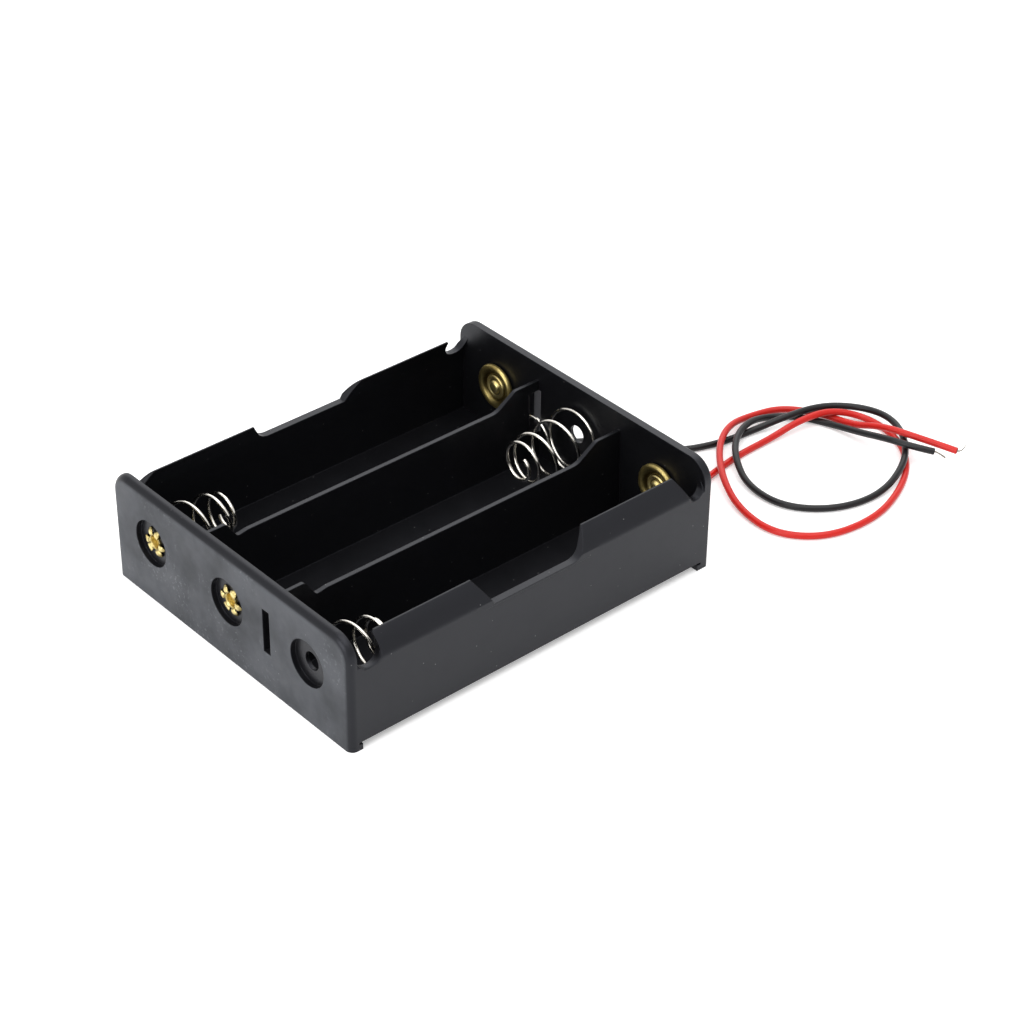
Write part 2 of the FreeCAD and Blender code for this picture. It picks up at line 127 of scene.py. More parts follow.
def uneven(tree, place, size_mm, low, high, start=0.0, end=1.0, detail=3.0, roughness=0.5):
    """A value that wanders in patches about that many millimetres across.

    It is low where the noise is under start, and high where it is over end.
    """
    noise = add_node(
        tree, "ShaderNodeTexNoise", None, Vector=place, Scale=1 / (size_mm * MM), Detail=detail,
        Roughness=roughness,
    )
    return add_node(
        tree, "ShaderNodeMapRange", None, Value=noise.outputs[0], From_Min=start, From_Max=end, To_Min=low,
        To_Max=high,
    ).outputs[0]


def in_box(tree, place, middle, half):
    """1 in a box and its mirror images, and 0 elsewhere. Its middle and half sizes are in millimetres."""
    inside = 1.0
    axes = add_node(tree, "ShaderNodeSeparateXYZ", None, Vector=place).outputs
    for axis, centre, reach in zip(axes, middle, half):
        distance = add_node(tree, "ShaderNodeMath", {"operation": "ABSOLUTE"}, _0=axis).outputs[0]
        met = add_node(
            tree, "ShaderNodeMath", {"operation": "COMPARE"}, _0=distance, _1=centre * MM, _2=reach * MM
        ).outputs[0]
        inside = add_node(tree, "ShaderNodeMath", {"operation": "MULTIPLY"}, _0=inside, _1=met).outputs[0]
    return inside


def moulded_abs():
    """Moulded black ABS: near black in the bays, with a faint cool sheen on its smooth outer walls.

    The left face is more matt, and painted a lighter grey that stands in for the light it catches, with
    clouds, scuffs and smudges. Specks of dust lie all over.
    """
    material, tree, place = new_material("moulded black ABS")
    along = add_node(tree, "ShaderNodeSeparateXYZ", None, Vector=place).outputs["X"]
    left_face = add_node(
        tree, "ShaderNodeMapRange", None, Value=along, From_Min=-HALF_LENGTH * MM,
        From_Max=(LEFT_FACE_DEPTH - HALF_LENGTH) * MM, To_Min=1.0, To_Max=0.0,
    ).outputs[0]
    smudges = uneven(tree, place, 5.0, 0.0, 1.0, start=0.42, end=0.66, detail=6.0, roughness=0.72)
    clouds = uneven(tree, place, 9.0, 0.0, 1.0, start=0.35, end=0.65, roughness=0.55)
    scuffs = add_node(
        tree, "ShaderNodeMath", {"operation": "MULTIPLY"},
        _0=uneven(tree, place, 0.7, 0.0, 1.0, start=0.56, end=0.68, detail=2.0),
        _1=uneven(tree, place, 11.0, 0.0, 1.0, start=0.5, end=0.62, detail=2.0),
    ).outputs[0]
    dust = add_node(
        tree, "ShaderNodeTexVoronoi", None, Vector=place, Scale=1 / (DUST_SPACING * MM), Randomness=1.0
    )
    specks = add_node(
        tree, "ShaderNodeMapRange", None, Value=dust.outputs["Distance"], From_Min=DUST_CORE,
        From_Max=DUST_EDGE, To_Min=DUST_STRENGTH, To_Max=0.0,
    ).outputs[0]
    # Painted light: a lighter grey on the left face for the light it catches, with clouds and scuffs in it;
    # the rest stays near black
    dull = add_node(
        tree, "ShaderNodeMix", {"data_type": "RGBA"}, Factor=clouds,
        _6=hex_colour("#292B2E"), _7=hex_colour("#45474B"),
    ).outputs[2]
    dull = add_node(
        tree, "ShaderNodeMix", {"data_type": "RGBA"}, Factor=scuffs, _6=dull, _7=hex_colour("#5C5E61")
    ).outputs[2]
    colour = add_node(
        tree, "ShaderNodeMix", {"data_type": "RGBA"}, Factor=left_face, _6=hex_colour("#0D0D0F"), _7=dull
    ).outputs[2]
    colour = add_node(
        tree, "ShaderNodeMix", {"data_type": "RGBA"}, Factor=specks, _6=colour, _7=hex_colour("#A0A0A0")
    ).outputs[2]
    gloss = add_node(tree, "ShaderNodeMapRange", None, Value=smudges, To_Min=0.33, To_Max=0.4).outputs[0]
    matt = add_node(tree, "ShaderNodeMapRange", None, Value=smudges, To_Min=0.2, To_Max=0.04).outputs[0]
    roughness = add_node(
        tree, "ShaderNodeMath", {"operation": "MULTIPLY_ADD"}, _0=left_face, _1=matt, _2=gloss
    ).outputs[0]
    rounding = add_node(
        tree, "ShaderNodeMapRange", None, Value=in_box(tree, place, *TAB_CREASE),
        To_Min=EDGE_ROUNDING * MM, To_Max=CREASE_ROUNDING * MM,
    ).outputs[0]
    edges = add_node(tree, "ShaderNodeBevel", {"samples": 4}, Radius=rounding).outputs[0]
    # A mould's own grain is usually finer than 0.1 mm, and is drawn at 0.3 mm here so that it shows
    grained = add_node(
        tree, "ShaderNodeBump", None, Strength=0.25, Distance=0.01 * MM,
        Height=uneven(tree, place, 0.3, 0.0, 1.0, detail=2.0), Normal=edges,
    ).outputs[0]
    grooved = add_node(
        tree, "ShaderNodeBump", {"invert": True}, Strength=1.0, Distance=PARTING_DEPTH * MM,
        Height=in_box(tree, place, *PARTING_LINE), Normal=grained,
    ).outputs[0]
    shader = add_node(
        tree, "ShaderNodeBsdfPrincipled", None, Base_Color=colour, Normal=grooved, Roughness=roughness,
        IOR=1.54, Specular_IOR_Level=0.27, Specular_Tint=hex_colour("#EEF1FF"),
    )
    add_node(tree, "ShaderNodeOutputMaterial", None, Surface=shader.outputs[0])
    return material


def nickel_wire():
    """Nickel-plated steel wire, drawn and coiled: bright and slightly warm, with faint drawing marks."""
    material, tree, place = new_material("nickel-plated spring wire")
    shader = add_node(
        tree, "ShaderNodeBsdfPrincipled", None, Base_Color=hex_colour("#DCD8D0"), Metallic=1.0,
        Roughness=uneven(tree, place, 2.0, 0.14, 0.24, start=0.3, end=0.7),
    )
    add_node(tree, "ShaderNodeOutputMaterial", None, Surface=shader.outputs[0])
    return material


def cell_reach(tree, place):
    """The distance from the axis of the nearest cell."""
    half = CELL_PITCH * MM / 2
    axes = add_node(tree, "ShaderNodeSeparateXYZ", None, Vector=place).outputs
    across = add_node(
        tree, "ShaderNodeMath", {"operation": "WRAP"}, _0=axes["Y"], _1=half, _2=-half
    ).outputs[0]
    height = add_node(
        tree, "ShaderNodeMath", {"operation": "SUBTRACT"}, _0=axes["Z"], _1=AXIS_HEIGHT * MM
    ).outputs[0]
    flat = add_node(tree, "ShaderNodeCombineXYZ", None, X=across, Y=height).outputs[0]
    return add_node(tree, "ShaderNodeVectorMath", {"operation": "LENGTH"}, _0=flat).outputs["Value"]


def shade_and_dirt(tree, reach, radius, half):
    """How much painted shade and dirt a round groove gets: most at its radius and none past its half width,
    both in mm.
    """
    offset = add_node(tree, "ShaderNodeMath", {"operation": "SUBTRACT"}, _0=reach, _1=radius * MM).outputs[0]
    gap = add_node(tree, "ShaderNodeMath", {"operation": "ABSOLUTE"}, _0=offset).outputs[0]
    return add_node(
        tree, "ShaderNodeMapRange", None, Value=gap, From_Max=half * MM, To_Min=SHADE_AND_DIRT_STRENGTH, To_Max=0.0
    ).outputs[0]


def brass(name, colour, dull_colour, roughness, dull):
    """Pressed or drawn brass: a soft yellow shine, with dull patches, and dark brown in its grooves as
    painted shade and dirt.
    """
    material, tree, place = new_material(name)
    tarnish = uneven(tree, place, 1.6, 0.0, 1.0, start=0.42, end=0.62, detail=5.0, roughness=0.65)
    dulled = add_node(tree, "ShaderNodeMapRange", None, Value=tarnish, To_Max=dull).outputs[0]
    tint = add_node(
        tree, "ShaderNodeMix", {"data_type": "RGBA"}, Factor=dulled,
        _6=hex_colour(colour), _7=hex_colour(dull_colour),
    ).outputs[2]
    reach = cell_reach(tree, place)
    # Painted shade and dirt: dark brown rings at the grooves of the cup and of the rivet head
    for radius, half in BRASS_GROOVES:
        tint = add_node(
            tree, "ShaderNodeMix", {"data_type": "RGBA"}, Factor=shade_and_dirt(tree, reach, radius, half),
            _6=tint, _7=hex_colour("#2A2210"),
        ).outputs[2]
    worn = add_node(
        tree, "ShaderNodeMapRange", None, Value=tarnish, To_Min=roughness, To_Max=roughness + 0.14
    ).outputs[0]
    shader = add_node(tree, "ShaderNodeBsdfPrincipled", None, Base_Color=tint, Metallic=1.0, Roughness=worn)
    add_node(tree, "ShaderNodeOutputMaterial", None, Surface=shader.outputs[0])
    return material


def pvc_insulation(name, colour, roughness):
    """Extruded PVC: softly glossy, with a slight orange-peel unevenness that breaks up its highlights."""
    material, tree, place = new_material(name)
    peel = add_node(
        tree, "ShaderNodeBump", None, Strength=0.25, Distance=0.03 * MM,
        Height=uneven(tree, place, 0.8, 0.0, 1.0),
    ).outputs[0]
    shader = add_node(
        tree, "ShaderNodeBsdfPrincipled", None, Base_Color=hex_colour(colour), Normal=peel, IOR=1.53,
        Roughness=uneven(tree, place, 3.0, roughness - 0.05, roughness + 0.05), Specular_IOR_Level=0.25,
    )
    add_node(tree, "ShaderNodeOutputMaterial", None, Surface=shader.outputs[0])
    return material


def small_metal(name, colour, roughness):
    """Drawn, cut or melted metal on a small piece: a plain shine that is a little uneven."""
    material, tree, place = new_material(name)
    shader = add_node(
        tree, "ShaderNodeBsdfPrincipled", None, Base_Color=hex_colour(colour), Metallic=1.0,
        Roughness=uneven(tree, place, 0.3, roughness - 0.08, roughness + 0.08),
    )
    add_node(tree, "ShaderNodeOutputMaterial", None, Surface=shader.outputs[0])
    return material


ABS = moulded_abs()
NICKEL = nickel_wire()
CUP_BRASS = brass("aged pressed brass", "#B8A76C", "#7F6E3F", 0.34, 0.8)
RIVET_BRASS = brass("bright tubular brass", "#E6D595", "#AD9552", 0.32, 0.6)
RED_PVC = pvc_insulation("red PVC insulation", "#C8211A", 0.3)
BLACK_PVC = pvc_insulation("black PVC insulation", "#141416", 0.32)
TINNED = small_metal("tinned copper strands", "#7F7A70", 0.3)
# Copper core painted dark, standing in for the shade inside a lead's cut end
CORE_WITH_PAINTED_SHADE = small_metal("copper core with painted shade", "#3A2418", 0.5)
SOLDER = small_metal("tin solder", "#CFCFCB", 0.2)


def dress(node, material):
    """Gives a CAD node its material."""
    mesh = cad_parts[node].data
    mesh.materials.clear()
    mesh.materials.append(material)


def mesh_object(name, points, edges, faces, material=None):
    """A mesh object at the origin from points in metres."""
    mesh = bpy.data.meshes.new(name)
    mesh.from_pydata([tuple(p) for p in points], edges, faces)
    mesh.validate()
    item = bpy.data.objects.new(name, mesh)
    bpy.context.scene.collection.objects.link(item)
    if material:
        mesh.materials.append(material)
    return item


def ring_faces(rings, sides):
    """The faces between rings of points that lie one after another."""
    return [
        (r * sides + i, r * sides + (i + 1) % sides, (r + 1) * sides + (i + 1) % sides, (r + 1) * sides + i)
        for r in range(rings - 1)
        for i in range(sides)
    ]


def lathe(name, profile, material=None):
    """A closed shape turned about the X axis, from profile points (x, radius) in millimetres."""
    points = [
        (x * MM, radius * MM * math.cos(angle), radius * MM * math.sin(angle))
        for x, radius in profile
        for angle in (2 * math.pi * i / LATHE_SIDES for i in range(LATHE_SIDES))
    ]
    return cleaned(mesh_object(name, points, [], ring_faces(len(profile), LATHE_SIDES), material))


def cleaned(item):
    """Merges doubled points, turns the faces outwards and shades them smooth."""
    shape = bmesh.new()
    shape.from_mesh(item.data)
    bmesh.ops.remove_doubles(shape, verts=shape.verts, dist=0.001 * MM)
    bmesh.ops.recalc_face_normals(shape, faces=shape.faces)
    for face in shape.faces:
        face.smooth = True
    shape.to_mesh(item.data)
    shape.free()
    return item


def wire_tree(material):
    """A node group that sweeps a round section along a line of points."""
    tree = bpy.data.node_groups.new("round wire", "GeometryNodeTree")
    tree.interface.new_socket("Path", in_out="INPUT", socket_type="NodeSocketGeometry")
    tree.interface.new_socket("Radius", in_out="INPUT", socket_type="NodeSocketFloat")
    tree.interface.new_socket("Wire", in_out="OUTPUT", socket_type="NodeSocketGeometry")
    given = add_node(tree, "NodeGroupInput")
    line = add_node(tree, "GeometryNodeMeshToCurve", None, Mesh=given.outputs["Path"])
    section = add_node(
        tree, "GeometryNodeCurvePrimitiveCircle", None, Resolution=20, Radius=given.outputs["Radius"]
    )
    skin = add_node(
        tree, "GeometryNodeCurveToMesh", None, Curve=line.outputs["Curve"], _1=section.outputs["Curve"],
        Fill_Caps=True,
    )
    smooth = add_node(tree, "GeometryNodeSetShadeSmooth", None, Geometry=skin.outputs["Mesh"])
    real = add_node(tree, "GeometryNodeRealizeInstances", None, Geometry=smooth.outputs["Geometry"])
    painted = add_node(
        tree, "GeometryNodeSetMaterial", None, Geometry=real.outputs["Geometry"], Material=material
    )
    add_node(tree, "NodeGroupOutput", None, Wire=painted.outputs["Geometry"])
    return tree


def evaluated(item, tree, **sizes):
    """Runs a node group, with its sizes set, on an object and leaves the result as its plain mesh."""
    modifier = item.modifiers.new(tree.name, "NODES")
    modifier.node_group = tree
    sockets = {s.name: s.identifier for s in tree.interface.items_tree if s.in_out == "INPUT"}
    for name, value in sizes.items():
        modifier[sockets[name]] = value
    graph = bpy.context.evaluated_depsgraph_get()
    result = bpy.data.meshes.new_from_object(item.evaluated_get(graph))
    item.modifiers.remove(modifier)
    item.data = result
    return item


def wire(name, paths, radius_mm, material):
    """Round wire along one or more paths given in millimetres."""
    points, edges = [], []
    for path in paths:
        first = len(points)
        points += [Vector(p) * MM for p in path]
        edges += [(i, i + 1) for i in range(first, len(points) - 1)]
    item = mesh_object(name, points, edges, [])
    return evaluated(item, wire_tree(material), Radius=radius_mm * MM)


# Contact cups and rivets

LATHE_SIDES = 72
BORE_RADIUS = 1.15
SHANK_RADIUS = 1.5
CUP_SHEET = 0.3
CUP_RIM = 4.2                # past this radius the cup's wall turns back

# Profiles from the bay side towards the end wall: distance from its inner face, and radius
CUP_FRONT = [
    (-0.42, 4.33), (-0.72, 4.35), (-1.08, 4.24), (-1.25, 3.92), (-1.26, 3.55), (-1.14, 3.2), (-0.95, 2.96),
    (-0.62, 2.8), (-0.36, 2.68), (-0.3, 2.5), (-0.3, 1.7),
]
CONTACT_HEAD = [
    (-1.33, 0.0), (-1.33, 0.6), (-1.27, 0.92), (-1.08, 1.14), (-0.84, 1.24), (-0.78, 1.4), (-0.84, 1.56),
    (-0.95, 1.8), (-0.94, 2.08), (-0.78, 2.28), (-0.5, 2.35), (-0.3, 2.35), (-0.3, 2.35),
]
SPRING_HEAD = [
    (-1.25, 0.0), (-1.25, 0.7), (-1.17, 1.5), (-1.02, 2.3), (-0.86, 2.68), (-0.7, 2.7), (-0.7, 2.7),
]
MOUTH = [
    (MEMBRANE + 0.12, SHANK_RADIUS), (MEMBRANE + 0.3, 1.46), (MEMBRANE + 0.28, 1.22),
    (MEMBRANE, BORE_RADIUS), (-0.1, BORE_RADIUS), (-0.1, BORE_RADIUS), (-0.1, 0.0),
]
PETAL_LINE = [(0.45, 1.3), (0.85, 1.32), (1.16, 1.5), (1.22, 1.9), (1.1, 2.35), (0.86, 2.72), (0.78, 2.88)]
PETAL_THICKNESS = 0.24
PETAL_WIDTH = 1.14
PETAL_FLARE = 0.22           # how much a petal widens towards its end, as a share
PETAL_END = 0.72             # where its end starts to round off, as a share of its length
PETAL_END_ROUNDING = 5.0
PETAL_CROWN = 0.1            # how far its edges sag
PETAL_COUNT = 6

# How petals differ, at least and at most, and the seed of each: in turn, in radians, and in size along the
# rivet, outwards and across, as shares
PETAL_TURN = (-0.2, 0.2, 0)
PETAL_SIZES = ((-0.1, 0.0, 7), (-0.09, 0.0, 11), (-0.3, 0.2, 13))


def rounded(points, steps=6):
    """A smooth line that rounds each corner of a few points."""
    line = [points[0]]
    for before, here, after in zip(points, points[1:], points[2:]):
        start, end = (before + here) / 2, (here + after) / 2
        for i in range(steps + 1):
            t = i / steps
            line.append(start * (1 - t) ** 2 + here * 2 * t * (1 - t) + end * t**2)
    line.append(points[-1])
    return line


def smooth_profile(points):
    """Profile points with their corners rounded."""
    return [tuple(p) for p in rounded([Vector(p) for p in points], 4)]


def seated(item, side, y):
    """Puts a shape made on the X axis, its bay side towards -X, on an end wall's inner face."""
    turn = Matrix() if side > 0 else Matrix.Rotation(math.pi, 4, "Y")
    item.data.transform(Matrix.Translation(Vector((side * INNER_HALF, y, AXIS_HEIGHT)) * MM) @ turn)


def petal():
    """One tongue of a splayed tube end: a strip bent in the plane of the X and Y axes, and crowned across."""
    line = rounded([Vector(p) for p in PETAL_LINE], 3)
    section = [(i / 2, 1) for i in range(-2, 3)] + [(i / 2, -1) for i in range(2, -3, -1)]
    points = []
    for i, here in enumerate(line):
        ahead = line[min(i + 1, len(line) - 1)] - line[max(i - 1, 0)]
        out = Vector((ahead.y, -ahead.x)).normalized() * PETAL_THICKNESS / 2
        share = i / (len(line) - 1)
        closing = PETAL_END_ROUNDING * max(share - PETAL_END, 0) ** 1.5
        half = PETAL_WIDTH / 2 * (1 + PETAL_FLARE * share - closing)
        for across, face in section:
            place = here + out * (face - PETAL_CROWN * across**2 / PETAL_THICKNESS)
            points.append((place.x * MM, place.y * MM, across * half * MM))
    sides = len(section)
    ends = [tuple(range(sides)), tuple(range(len(points) - sides, len(points)))]
    return cleaned(mesh_object("petal", points, [], ring_faces(len(line), sides) + ends))


def splayed_tree(material):
    """A node group that sets petals round a rivet's mouth, each a little different."""
    tree = bpy.data.node_groups.new("splayed rivet", "GeometryNodeTree")
    for name, kind in (
        ("Body", "NodeSocketGeometry"), ("Petal", "NodeSocketObject"), ("Count", "NodeSocketInt"),
        ("Unevenness", "NodeSocketFloat"), ("Seed", "NodeSocketInt"),
    ):
        tree.interface.new_socket(name, in_out="INPUT", socket_type=kind)
    tree.interface.new_socket("Rivet", in_out="OUTPUT", socket_type="NodeSocketGeometry")
    given = add_node(tree, "NodeGroupInput").outputs

    def varied(low, high, offset):
        """A random value for each petal between low and high, times the unevenness."""
        seed = add_node(tree, "ShaderNodeMath", {"operation": "ADD"}, _0=given["Seed"], _1=offset)
        drawn = add_node(
            tree, "FunctionNodeRandomValue", {"data_type": "FLOAT"}, _2=low, _3=high, _8=seed.outputs[0]
        )
        return add_node(
            tree, "ShaderNodeMath", {"operation": "MULTIPLY"}, _0=drawn.outputs[1], _1=given["Unevenness"]
        ).outputs[0]

    index = add_node(tree, "GeometryNodeInputIndex").outputs[0]
    share = add_node(tree, "ShaderNodeMath", {"operation": "DIVIDE"}, _0=index, _1=given["Count"]).outputs[0]
    even = add_node(tree, "ShaderNodeMath", {"operation": "MULTIPLY"}, _0=share, _1=2 * math.pi).outputs[0]
    turn = add_node(tree, "ShaderNodeMath", {"operation": "ADD"}, _0=even, _1=varied(*PETAL_TURN)).outputs[0]
    spin = add_node(tree, "ShaderNodeCombineXYZ", None, X=turn)
    sizes = [
        add_node(tree, "ShaderNodeMath", {"operation": "ADD"}, _0=varied(*spread), _1=1.0).outputs[0]
        for spread in PETAL_SIZES
    ]
    size = add_node(tree, "ShaderNodeCombineXYZ", None, X=sizes[0], Y=sizes[1], Z=sizes[2])
    shape = add_node(tree, "GeometryNodeObjectInfo", None, Object=given["Petal"])
    places = add_node(tree, "GeometryNodePoints", None, Count=given["Count"])
    ring = add_node(
        tree, "GeometryNodeInstanceOnPoints", None, Points=places.outputs[0],
        Instance=shape.outputs["Geometry"], Rotation=spin.outputs[0], Scale=size.outputs[0],
    )
    both = add_node(tree, "GeometryNodeJoinGeometry")
    tree.links.new(given["Body"], both.inputs[0])
    tree.links.new(ring.outputs[0], both.inputs[0])
    real = add_node(tree, "GeometryNodeRealizeInstances", None, Geometry=both.outputs[0])
    painted = add_node(tree, "GeometryNodeSetMaterial", None, Geometry=real.outputs[0], Material=material)
    add_node(tree, "NodeGroupOutput", None, Rivet=painted.outputs[0])
    return tree


def brass_piece(item, node, side, y):
    """Seats a turned brass piece in place of its CAD node."""
    seated(item, side, y)
    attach(item, "case")
    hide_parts(node)


# The back of a cup is its front set back by the sheet, and brought in where it turns round the rim
CUP_BACK = [
    (min(x + CUP_SHEET, 0.0), radius - (CUP_SHEET if radius > CUP_RIM else 0.0))
    for x, radius in reversed(CUP_FRONT)
]
cup_outline = smooth_profile(CUP_FRONT) + smooth_profile(CUP_BACK)
for number, side in ((1, 1), (2, -1), (3, 1)):
    cup = lathe(f"pressed_cup_{number}", cup_outline + cup_outline[:1], CUP_BRASS)
    brass_piece(cup, f"contact_cup_{number}", side, CELL_Y[number - 1])

petal_shape = petal()
splayed = splayed_tree(RIVET_BRASS)
for number, node, head, side, cell in (
    (1, "contact_rivet_1", CONTACT_HEAD, 1, 1),
    (2, "contact_rivet_2", CONTACT_HEAD, -1, 2),
    (3, "contact_rivet_3", CONTACT_HEAD, 1, 3),
    (4, "spring_rivet", SPRING_HEAD, -1, 1),
):
    outline = smooth_profile(head) + [(head[-1][0], SHANK_RADIUS)] + smooth_profile(MOUTH)
    rivet = evaluated(
        lathe(f"splayed_rivet_{number}", outline), splayed, Petal=petal_shape, Count=PETAL_COUNT,
        Unevenness=1.0, Seed=number,
    )
    brass_piece(rivet, node, side, CELL_Y[cell - 1])
bpy.data.objects.remove(petal_shape)

# Springs

WIRE_RADIUS = 0.3
SPRING_BASE_RADIUS = 5.4
SPRING_TIP_RADIUS = 3.65
SPRING_TURNS = 3.9
SPRING_CLOSE_TURNS = 1.5     # over which the free end flattens
SPRING_FREE_LENGTH = 13.2
TIP_SPIRAL_TURNS = 0.5
TIP_SPIRAL_RADIUS = 1.4
SPRING_DROOP = 0.5           # how far a free end hangs
LOOSE_SPRING_DROOP = 2.6     # the same for spring 3, which is bent down
BASE_REACH = 0.35            # from the end wall to the wire's centre in the base turn
EYE_RADIUS = 1.86
EYE_TURNS = 0.75
EYE_OPENING = 1.5            # above 1, the eye opens out late
EYE_START = 180
HOOK_RADIUS = 3.775
HOOK_ANGLES = range(70, -115, -15)
TAIL_START = -90             # where the tail comes into the base turn
TAIL_POINTS = 8              # how many points of the base turn it takes the place of
TAIL_LOW = -8.55             # the tail's lowest point, from the cell's axis
POINTS_PER_TURN = 40

# The tail from its hook to the base turn: across and up from the axis of its own cell
TAIL_ROUTE = [
    (CELL_PITCH / 2 + 3.6, -2.9),
    (CELL_PITCH / 2, -1.3),
    (CELL_PITCH / 2 - 2.9, -3.1),
    (SPRING_BASE_RADIUS * 1.2, 0.68 * TAIL_LOW),
    (SPRING_BASE_RADIUS * 0.72, 0.98 * TAIL_LOW),
    (0.0, TAIL_LOW),
    (-SPRING_BASE_RADIUS * 0.68, 0.78 * TAIL_LOW),
]


def on_circle(reach, y, radius, degrees):
    """A point at a distance from the end wall at +X, on a circle about the axis of the cell at y."""
    angle = math.radians(degrees)
    return Vector((-reach, y + radius * math.cos(angle), radius * math.sin(angle)))


def coil(start, droop):
    """The turns of a spring, from an angle on its base turn to its turned-in free end, which droops."""
    rise = SPRING_FREE_LENGTH - BASE_REACH - WIRE_RADIUS
    pitch = rise / (SPRING_TURNS - (1 + SPRING_CLOSE_TURNS) / 2)
    total = SPRING_TURNS + TIP_SPIRAL_TURNS
    steps = round(total * POINTS_PER_TURN)
    points = []
    for i in range(steps + 1):
        turn = i * total / steps
        wound = min(turn, SPRING_TURNS)
        share = wound / SPRING_TURNS
        over = max(turn - SPRING_TURNS, 0.0) / TIP_SPIRAL_TURNS
        radius = SPRING_BASE_RADIUS + (SPRING_TIP_RADIUS - SPRING_BASE_RADIUS) * share
        radius += (TIP_SPIRAL_RADIUS - SPRING_TIP_RADIUS) * over**2 * (3 - 2 * over)
        opening = wound**2 / 2 if wound < 1 else wound - 0.5
        closing = max(wound - SPRING_TURNS + SPRING_CLOSE_TURNS, 0.0) ** 2 / (2 * SPRING_CLOSE_TURNS)
        point = on_circle(BASE_REACH + pitch * (opening - closing), 0, radius, start - 360 * turn)
        point.z -= droop * min(turn / SPRING_TURNS, 1.0)
        points.append(point)
    return points


def eye(start):
    """The base turn of the riveted spring, winding out from the eye."""
    steps = round(EYE_TURNS * POINTS_PER_TURN)
    points = []
    for i in range(steps):
        share = i / steps
        radius = EYE_RADIUS + (SPRING_BASE_RADIUS - EYE_RADIUS) * share**EYE_OPENING
        points.append(on_circle(BASE_REACH, 0, radius, start + 360 * EYE_TURNS * (1 - share)))
    return points


def tail(droop):
    """The wire from the next cup, through the divider's window and into the wide base turn."""
    hook = [on_circle(BASE_REACH, CELL_PITCH, HOOK_RADIUS, angle) for angle in HOOK_ANGLES]
    route = [Vector((-BASE_REACH, y, z)) for y, z in TAIL_ROUTE]
    first = coil(TAIL_START, droop)[TAIL_POINTS]
    return hook + rounded([hook[-1], *route, first])[1:]


def at_wall(points, side, y):
    """Puts points made for the +X wall in place on that wall, for the cell at y."""
    return [Vector((side * (INNER_HALF + p.x), y + p.y, AXIS_HEIGHT + side * p.z)) for p in points]


def spring(number, side, points):
    """One contact spring, swept as a wire along its points and set on the case in place of its CAD node."""
    name = f"spring_{number}"
    item = wire(f"{name}_wire", [at_wall(points, side, CELL_Y[number - 1])], WIRE_RADIUS, NICKEL)
    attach(item, "case")
    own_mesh(item)
    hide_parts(name)


# At the left wall a spring is turned over, so that its droop has the other sign
spring(1, -1, eye(EYE_START) + coil(EYE_START, -SPRING_DROOP))
for number, side, droop in ((2, 1, SPRING_DROOP), (3, -1, -LOOSE_SPRING_DROOP)):
    spring(number, side, tail(droop) + coil(TAIL_START, droop)[TAIL_POINTS:])


# Leads

RED_ROUTE = [
    (HALF_LENGTH, -CELL_PITCH, AXIS_HEIGHT),
    (43.0, -CELL_PITCH, AXIS_HEIGHT),
    (48.6, -18.0, 5.2),
    (55.2, -13.4, LEAD_HEIGHT),
    (65.0, -11.6, LEAD_HEIGHT),
    (74.6, -11.5, LEAD_HEIGHT),
    (80.4, -12.2, 2.1),
    (87.6, -13.5, 2.3),
    (92.9, -18.2, LEAD_HEIGHT),
    (91.9, -26.7, LEAD_HEIGHT),
    (86.8, -33.6, LEAD_HEIGHT),
    (79.0, -38.4, LEAD_HEIGHT),
    (69.8, -41.1, LEAD_HEIGHT),
    (59.4, -39.6, LEAD_HEIGHT),
    (53.2, -33.0, LEAD_HEIGHT),
    (53.6, -24.0, 0.9),
    (56.9, -16.4, 2.1),
    (63.2, -9.0, 2.2),
    (69.7, -4.9, 2.1),
    (76.8, -3.7, LEAD_HEIGHT),
    (83.3, -5.6, LEAD_HEIGHT),
    (87.5, -12.0, LEAD_HEIGHT),
    (88.9, -18.2, LEAD_HEIGHT),
    (89.2, -24.4, 3.5),
    (91.3, -30.8, 3.5),
    (94.3, -38.1, 2.8),
]
BLACK_ROUTE = [
    (HALF_LENGTH, CHANNEL_Y, LEAD_HEIGHT),
    (43.5, CHANNEL_Y, LEAD_HEIGHT),
    (51.0, 7.6, LEAD_HEIGHT),
    (57.0, -2.8, LEAD_HEIGHT),
    (65.4, -6.6, LEAD_HEIGHT),
    (74.2, -7.6, LEAD_HEIGHT),
    (79.2, -9.6, 2.1),
    (87.4, -11.0, 2.1),
    (93.4, -15.4, 1.5),
    (94.5, -22.0, 2.1),
    (91.4, -28.6, 2.1),
    (84.8, -34.4, 2.1),
    (76.2, -36.8, LEAD_HEIGHT),
    (66.9, -34.9, LEAD_HEIGHT),
    (60.3, -28.4, LEAD_HEIGHT),
    (59.8, -20.0, 0.9),
    (62.8, -13.8, 2.1),
    (67.6, -8.9, 2.2),
    (73.2, -6.4, 2.1),
    (79.0, -6.0, LEAD_HEIGHT),
    (83.3, -9.4, LEAD_HEIGHT),
    (86.1, -15.4, LEAD_HEIGHT),
    (86.6, -21.6, 1.8),
    (86.8, -27.8, 3.5),
    (88.6, -33.0, 3.5),
    (90.9, -35.7, 2.9),
]


def lead(name, route, material):
    """A free lead as a tube along its route."""
    curve = bpy.data.curves.new(name, "CURVE")
    curve.dimensions = "3D"
    line = curve.splines.new("NURBS")
    line.points.add(len(route) - 1)
    for point, place in zip(line.points, route):
        point.co = (*(Vector(place) * MM), 1)
    line.order_u = 3
    line.use_endpoint_u = True
    line.resolution_u = 12
    curve.bevel_depth = LEAD_DIAMETER / 2 * MM
    curve.bevel_resolution = 8
    curve.use_fill_caps = True
    curve.materials.append(material)
    item = bpy.data.objects.new(name, curve)
    bpy.context.scene.collection.objects.link(item)
    return item


